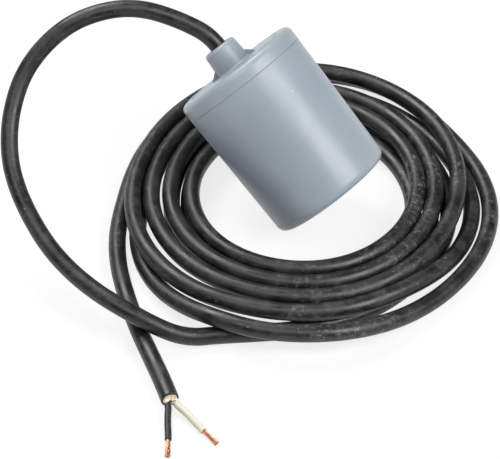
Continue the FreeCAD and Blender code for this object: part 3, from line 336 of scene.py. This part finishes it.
def cord_rubber():
    """Black extruded rubber: dull, with rubbed grey patches, drawn streaks and pale specks."""
    made = Nodes("cord_rubber")
    clouds = made.noise(75.0, 5.0, 0.62)
    base = made.mix(made.spread(clouds, 0.36, 0.68), (0.004, 0.004, 0.004), (0.022, 0.022, 0.023))
    patches = made.spread(made.noise(19.0, 2.0), 0.50, 0.66)
    rubs = made.spread(made.noise(330.0, 7.0, 0.72), 0.50, 0.70)
    rubbed = made.math("MULTIPLY", made.math("MULTIPLY", patches, rubs), 0.85)
    base = made.mix(rubbed, base, (0.160, 0.162, 0.168))
    drawn = made.noise(160.0, 5.0, 0.7, made.stretched(made.place, (1.0, 1.0, 4.0)))
    base = made.mix(made.spread(drawn, 0.56, 0.72, 0.0, 0.55), base, (0.095, 0.096, 0.100))
    specks = made.specks(260.0, inner=0.05, outer=0.13, picked_share=0.30)
    base = made.mix(specks, base, (0.22, 0.22, 0.22))
    made.set(Base_Color=base, Roughness=made.spread(clouds, 0.3, 0.7, 0.34, 0.52))
    made.shader.inputs["Specular IOR Level"].default_value = 0.60
    grain = made.math("MULTIPLY", made.noise(1300.0, 4.0, 0.6), 0.10)
    made.bump(made.math("ADD", made.noise(60.0, 3.0), grain), strength=0.45, distance=0.0011)
    return made.material


def insulation(name, colour, mottle):
    """A conductor's insulation: drawn plastic with a powdery, mottled skin."""
    made = Nodes(name)
    marks = made.noise(900.0, 4.0, 0.65)
    shade = made.mix(made.spread(marks, 0.50, 0.72), colour, mottle)
    made.set(Base_Color=shade, Roughness=made.spread(marks, 0.3, 0.7, 0.42, 0.6))
    made.bump(marks, strength=0.2, distance=0.0002)
    return made.material


def metal(name, colour, roughness, grain=(1.0, 1.0, 1.0)):
    """Bare or plated metal, with a drawn grain and small changes of shine."""
    made = Nodes(name)
    lines = made.noise(900.0, 4.0, 0.6, made.stretched(made.place, grain))
    darker = tuple(channel * 0.82 for channel in colour)
    shade = made.mix(made.spread(lines, 0.3, 0.7), darker, colour)
    made.set(Base_Color=shade, Metallic=1.0,
             Roughness=made.spread(lines, 0.25, 0.75, roughness * 0.8, roughness * 1.25))
    made.bump(lines, strength=0.06, distance=0.0001)
    return made.material


def soft_rubber(name, level):
    """Dull dark rubber of this grey level, a little cloudy."""
    made = Nodes(name)
    clouds = made.noise(300.0, 3.0)
    shade = made.mix(made.spread(clouds, 0.3, 0.7), (level * 0.7,) * 3, (level * 1.3,) * 3)
    made.set(Base_Color=shade, Roughness=made.spread(clouds, 0.3, 0.7, 0.6, 0.8))
    made.bump(made.noise(2500.0, 3.0), strength=0.2, distance=0.0002)
    return made.material


def torn_paper():
    """Cream filler paper, brown in random patches."""
    made = Nodes("paper_filler")
    brown_patches = made.noise(420.0, 4.0, 0.6)
    # Brown in random patches over the cream, whatever their cause
    shade = made.mix(made.spread(brown_patches, 0.42, 0.66), (0.80, 0.75, 0.60), (0.50, 0.33, 0.20))
    made.set(Base_Color=shade, Roughness=0.85)
    made.bump(made.noise(1800.0, 5.0, 0.7), strength=0.5, distance=0.0003)
    return made.material


MATERIALS = {
    "float_plastic": float_plastic(),
    "cord_rubber": cord_rubber(),
    "seal_rubber": soft_rubber("seal_rubber", 0.02),
    "potting_resin": moulded_plastic("potting_resin", (0.04, 0.04, 0.045), 0.2, scale=0.4),
    "tube_plastic": moulded_plastic("tube_plastic", (0.78, 0.77, 0.72), 0.45, scale=0.4),
    "pad_rubber": soft_rubber("pad_rubber", 0.06),
    "carrier_plastic": moulded_plastic("carrier_plastic", (0.70, 0.70, 0.66), 0.45, scale=0.4),
    "screw_steel": metal("screw_steel", (0.62, 0.62, 0.62), 0.3),
    "pin_steel": metal("pin_steel", (0.60, 0.60, 0.60), 0.2),
    "switch_plastic": moulded_plastic("switch_plastic", (0.04, 0.04, 0.04), 0.35, scale=0.3),
    "cover_plastic": moulded_plastic("cover_plastic", (0.05, 0.05, 0.05), 0.35, scale=0.3),
    "terminal_brass": metal("terminal_brass", (0.78, 0.66, 0.36), 0.28),
    "crimp_brass": metal("crimp_brass", (0.76, 0.70, 0.52), 0.3),
    "black_insulation": insulation("black_insulation", (0.014, 0.014, 0.014), (0.07, 0.07, 0.07)),
    "white_insulation": insulation("white_insulation", (0.62, 0.62, 0.51), (0.55, 0.55, 0.44)),
    "ball_steel": metal("ball_steel", (0.72, 0.72, 0.73), 0.08),
    "lever_steel": metal("lever_steel", (0.64, 0.64, 0.64), 0.28, (1.0, 0.2, 1.0)),
    "plunger_plastic": moulded_plastic("plunger_plastic", (0.75, 0.15, 0.12), 0.35, scale=0.3),
    "blade_bronze": metal("blade_bronze", (0.72, 0.52, 0.30), 0.25, (1.0, 0.2, 1.0)),
    "bare_copper": metal("bare_copper", (0.78, 0.40, 0.24), 0.32),
    "paper_filler": torn_paper(),
}


def dress(piece, slot_name):
    """Gives a piece the material of one of the record's slots."""
    piece.data.materials.clear()
    piece.data.materials.append(MATERIALS[slot_name])


def dress_cad_nodes():
    """Gives every CAD node the material of its slot in the record."""
    for entry in frame["record"]["subparts"]:
        node = nodes[entry["node"]]
        node.data.materials.clear()
        node.data.materials.append(MATERIALS[entry["material_slot"]])


dress_cad_nodes()

# The cord

cord = nurbs_curve("cord", cord_route(), CORD_DIAMETER / 2 * MM, resolution=6, sides=6)
dress(cord, "cord_rubber")
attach(cord, "float")
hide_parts("cord_lead", "cord_coil", "cord_tail")

# The stripped end: two conductors, their bare strands and the paper between them. Places and runs are
# in millimetres. The black conductor is straighter here than in part.py.

TAIL_END = Vector(TAIL_POINTS[-1]) * MM
TAIL_HEADING = (Vector(TAIL_POINTS[-1]) - Vector(TAIL_POINTS[-2])).normalized()
ASIDE = UP.cross(TAIL_HEADING)
BLACK_RADIUS = 2.0 * MM
WHITE_RADIUS = 2.2 * MM
CONDUCTOR_ASIDE = 2.1
WIRE_START_DEPTH = 2.0
WIRE_EXIT_RUN = 4.5
WIRE_END_RUN = 3.5
BARE_LENGTH = 12.0
BLACK_WIRE_POINTS = [(-67.8, -189.2, 4.4), (-67.6, -197.0, 3.3), (-67.1, -206.9, 2.4)]
WHITE_WIRE_POINTS = [(-57.6, -187.4, 4.8), (-53.4, -192.6, 3.8), (-46.9, -200.2, 2.6)]
BLACK_BARE_END = (-67.0, -219.0, 1.6)
WHITE_BARE_END = (-39.8, -208.4, 1.6)
STRAND_RADIUS = 0.29 * MM
STRAND_START_DEPTH = 0.8
STRAND_POINTS = 10
# Each ring of strands: how many, and how far they lie from the bundle's middle
STRAND_RINGS = [(1, 0.0), (6, 0.56), (12, 1.08)]
PAPER_RADIUS = 4.35
PAPER_THICKNESS = 0.16 * MM
# The paper's wrap in degrees round the tail
PAPER_START = -25
PAPER_SWEEP = 230
# The cut rim's section: how far out of the cut, and from the cord's middle
RIM_SECTION = [(-0.4, 5.40), (0.05, 5.38), (0.28, 5.12), (0.30, 4.62), (0.10, 4.42), (-0.4, 4.40)]


def add_wire(name, slot_name, side, radius, points, bare_end):
    """One conductor's insulation, from inside the jacket to its bare end."""
    start = TAIL_END / MM + ASIDE * side * CONDUCTOR_ASIDE
    tip = Vector(points[-1])
    along = (Vector(bare_end) - tip).normalized()
    route = [start - TAIL_HEADING * WIRE_START_DEPTH, start + TAIL_HEADING * WIRE_EXIT_RUN]
    route += [Vector(point) for point in points[:-1]] + [tip - along * WIRE_END_RUN, tip]
    wire = nurbs_curve(name, [point * MM for point in route], radius, resolution=12, sides=8)
    dress(wire, slot_name)
    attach(wire, "float")
    return wire, tip * MM, along


def add_strands(name, tip, along, seed):
    """A twisted bundle of fine copper strands, loosening towards its cut end."""
    chance = random.Random(seed)
    side = along.orthogonal().normalized()
    other = along.cross(side)
    data = bpy.data.curves.new(name, "CURVE")
    data.dimensions = "3D"
    data.bevel_depth = STRAND_RADIUS
    data.bevel_resolution = 3
    data.use_fill_caps = True
    for count, ring_radius in STRAND_RINGS:
        for index in range(count):
            first = 2 * math.pi * (index + 0.3 * chance.random()) / count
            twist = 2.6 + 0.25 * chance.random()
            flare = 0.22 + 0.30 * chance.random()
            length = BARE_LENGTH - 0.9 * chance.random()
            spline = data.splines.new("NURBS")
            spline.points.add(STRAND_POINTS - 1)
            for step, control in enumerate(spline.points):
                share = step / (STRAND_POINTS - 1)
                radius = ring_radius * (1 + flare * share ** 3)
                angle = first + twist * share
                offset = side * radius * math.cos(angle) + other * radius * math.sin(angle)
                run = length * share - STRAND_START_DEPTH * (1 - share)
                control.co = (*(tip + (along * run + offset) * MM), 1.0)
            spline.order_u = 3
            spline.use_endpoint_u = True
            spline.resolution_u = 4
    strands = bpy.data.objects.new(name, data)
    bpy.context.scene.collection.objects.link(strands)
    dress(strands, "bare_copper")
    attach(strands, "float")
    return strands


wire_black, black_tip, black_along = add_wire("wire_black", "black_insulation", -1, BLACK_RADIUS,
                                              BLACK_WIRE_POINTS, BLACK_BARE_END)
wire_white, white_tip, white_along = add_wire("wire_white", "white_insulation", 1, WHITE_RADIUS,
                                              WHITE_WIRE_POINTS, WHITE_BARE_END)
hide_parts("tail_wire_black")
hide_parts("tail_wire_white")
strands_black = add_strands("strands_black", black_tip, black_along, seed=11)
strands_white = add_strands("strands_white", white_tip, white_along, seed=23)
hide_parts("tail_strands_black")
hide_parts("tail_strands_white")


def mesh_piece(name, vertices, faces, smooth=True):
    """A new object in the scene with this mesh."""
    mesh = bpy.data.meshes.new(name)
    mesh.from_pydata([tuple(vertex) for vertex in vertices], [], faces)
    mesh.validate()
    mesh.update()
    for polygon in mesh.polygons:
        polygon.use_smooth = smooth
    piece = bpy.data.objects.new(name, mesh)
    bpy.context.scene.collection.objects.link(piece)
    return piece


def grid_faces(rows, columns, closed=False):
    """Faces of a grid of rows by columns vertices, closed round its columns where asked."""
    last = columns if closed else columns - 1
    return [(row * columns + column, row * columns + (column + 1) % columns,
             (row + 1) * columns + (column + 1) % columns, (row + 1) * columns + column)
            for row in range(rows - 1) for column in range(last)]


def at_cut(out, aside, up):
    """A point by the jacket's cut end: millimetres along the tail, across it and upwards."""
    return TAIL_END + (TAIL_HEADING * out + ASIDE * aside + UP * up) * MM


def add_paper():
    """Torn paper that was wrapped round the conductors, and a crumpled strip between them."""
    chance = random.Random(7)
    vertices = []
    rows = 9
    columns = 25
    reach = [3.4 + 1.5 * chance.random() for _ in range(columns)]
    creases = [0.35 * (chance.random() - 0.5) for _ in range(columns)]
    for row in range(rows):
        share = row / (rows - 1)
        for column in range(columns):
            angle = math.radians(PAPER_START + PAPER_SWEEP * column / (columns - 1))
            radius = PAPER_RADIUS + creases[column] * (0.4 + share) - 0.5 * share
            vertices.append(at_cut(-1.2 + (1.2 + reach[column]) * share, -radius * math.cos(angle),
                                   0.82 * radius * math.sin(angle)))
    faces = grid_faces(rows, columns)
    base = len(vertices)
    rows = 8
    columns = 14
    for row in range(rows):
        share = row / (rows - 1)
        for column in range(columns):
            across = column / (columns - 1)
            fold = 0.9 * math.sin(across * 9.0 + share * 2.0) + 0.3 * (chance.random() - 0.5)
            vertices.append(at_cut(-1.0 + (5.6 + 0.8 * math.sin(across * 5)) * share,
                                   -2.9 + 5.8 * across, 1.0 + fold * (0.3 + 0.5 * share)))
    faces += [tuple(index + base for index in face) for face in grid_faces(rows, columns)]
    paper = mesh_piece("filler_paper", vertices, faces)
    thicken = paper.modifiers.new("thickness", "SOLIDIFY")
    thicken.thickness = PAPER_THICKNESS
    thicken.offset = 0.0
    dress(paper, "paper_filler")
    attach(paper, "float")
    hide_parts("tail_filler")
    return paper


def add_jacket_end():
    """The cut rim of the jacket, a little ragged, standing proud of the cord's flat end."""
    chance = random.Random(3)
    columns = 48
    rough = [0.10 * (chance.random() - 0.5) for _ in range(columns)]
    vertices = []
    for out, radius in RIM_SECTION:
        for column in range(columns):
            angle = 2 * math.pi * column / columns
            ragged = rough[column] if out > 0 else 0.0
            vertices.append(at_cut(out + ragged, radius * math.cos(angle), radius * math.sin(angle)))
    rim = mesh_piece("jacket_rim", vertices, grid_faces(len(RIM_SECTION), columns, closed=True))
    dress(rim, "cord_rubber")
    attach(rim, "float")
    return rim


paper = add_paper()
jacket_rim = add_jacket_end()

# Floor, surroundings and light. The camera and reflections see the floor as mostly glowing white, with
# the object's shadow in the rest of it.

FLOOR_SIDE = 6.0
FLOOR_DROP = 0.3 * MM
FLOOR_GREY = (0.85, 0.85, 0.85, 1.0)
WHITE = (1.0, 1.0, 1.0, 1.0)
GLOW_SHARE = 0.80
LAMPS_AIM = Vector((0.0, 0.0, 0.05))


def add_floor():
    """A wide flat sheet just under the object."""
    half = FLOOR_SIDE / 2
    floor = mesh_piece("floor", [(-half, -half, 0), (half, -half, 0), (half, half, 0), (-half, half, 0)],
                       [(0, 1, 2, 3)], smooth=False)
    floor.location.z = -FLOOR_DROP
    material = bpy.data.materials.new("floor_white")
    material.use_nodes = True
    tree = material.node_tree
    tree.nodes.clear()
    output = tree.nodes.new("ShaderNodeOutputMaterial")
    path = tree.nodes.new("ShaderNodeLightPath")
    seen = tree.nodes.new("ShaderNodeMath")
    seen.operation = "MAXIMUM"
    matt = tree.nodes.new("ShaderNodeBsdfDiffuse")
    matt.inputs["Color"].default_value = FLOOR_GREY
    glow = tree.nodes.new("ShaderNodeEmission")
    glow.inputs["Color"].default_value = WHITE
    glow.inputs["Strength"].default_value = 1.0
    both = tree.nodes.new("ShaderNodeMixShader")
    share = tree.nodes.new("ShaderNodeMath")
    share.operation = "MULTIPLY"
    share.inputs[1].default_value = GLOW_SHARE
    tree.links.new(path.outputs["Is Camera Ray"], seen.inputs[0])
    tree.links.new(path.outputs["Is Glossy Ray"], seen.inputs[1])
    tree.links.new(seen.outputs["Value"], share.inputs[0])
    tree.links.new(share.outputs["Value"], both.inputs["Fac"])
    tree.links.new(matt.outputs["BSDF"], both.inputs[1])
    tree.links.new(glow.outputs["Emission"], both.inputs[2])
    tree.links.new(both.outputs["Shader"], output.inputs["Surface"])
    floor.data.materials.append(material)


def add_world(strength):
    """White light of this strength from all round, which the camera sees as pure white."""
    world = bpy.data.worlds.new("studio")
    world.use_nodes = True
    bpy.context.scene.world = world
    tree = world.node_tree
    background = next(node for node in tree.nodes if node.type == "BACKGROUND")
    background.inputs["Color"].default_value = WHITE
    path = tree.nodes.new("ShaderNodeLightPath")
    seen = tree.nodes.new("ShaderNodeMapRange")
    tree.links.new(path.outputs["Is Camera Ray"], seen.inputs["Value"])
    seen.inputs["To Min"].default_value = strength
    seen.inputs["To Max"].default_value = 1.0
    tree.links.new(seen.outputs["Result"], background.inputs["Strength"])


def add_lamp(name, azimuth, elevation, distance, size, power):
    """A soft box that faces the object. Azimuth 0 is on the camera's side, 90 on its right."""
    data = bpy.data.lights.new(name, "AREA")
    data.shape = "RECTANGLE"
    data.size, data.size_y = size
    data.energy = power
    lamp = bpy.data.objects.new(name, data)
    turn = math.radians(azimuth)
    lift = math.radians(elevation)
    direction = Vector((math.sin(turn) * math.cos(lift), -math.cos(turn) * math.cos(lift),
                        math.sin(lift)))
    lamp.location = LAMPS_AIM + direction * distance
    lamp.rotation_euler = (-direction).to_track_quat("-Z", "Y").to_euler()
    bpy.context.scene.collection.objects.link(lamp)


add_floor()
add_world(strength=0.145)
add_lamp("key", azimuth=54.0, elevation=43.0, distance=1.6, size=(0.95, 0.9), power=22.5)
add_lamp("back", azimuth=222.0, elevation=50.0, distance=1.8, size=(1.1, 0.8), power=28.0)
add_lamp("fill", azimuth=-30.0, elevation=60.0, distance=1.8, size=(1.2, 1.0), power=10.0)

bpy.context.scene.view_settings.view_transform = "Standard"
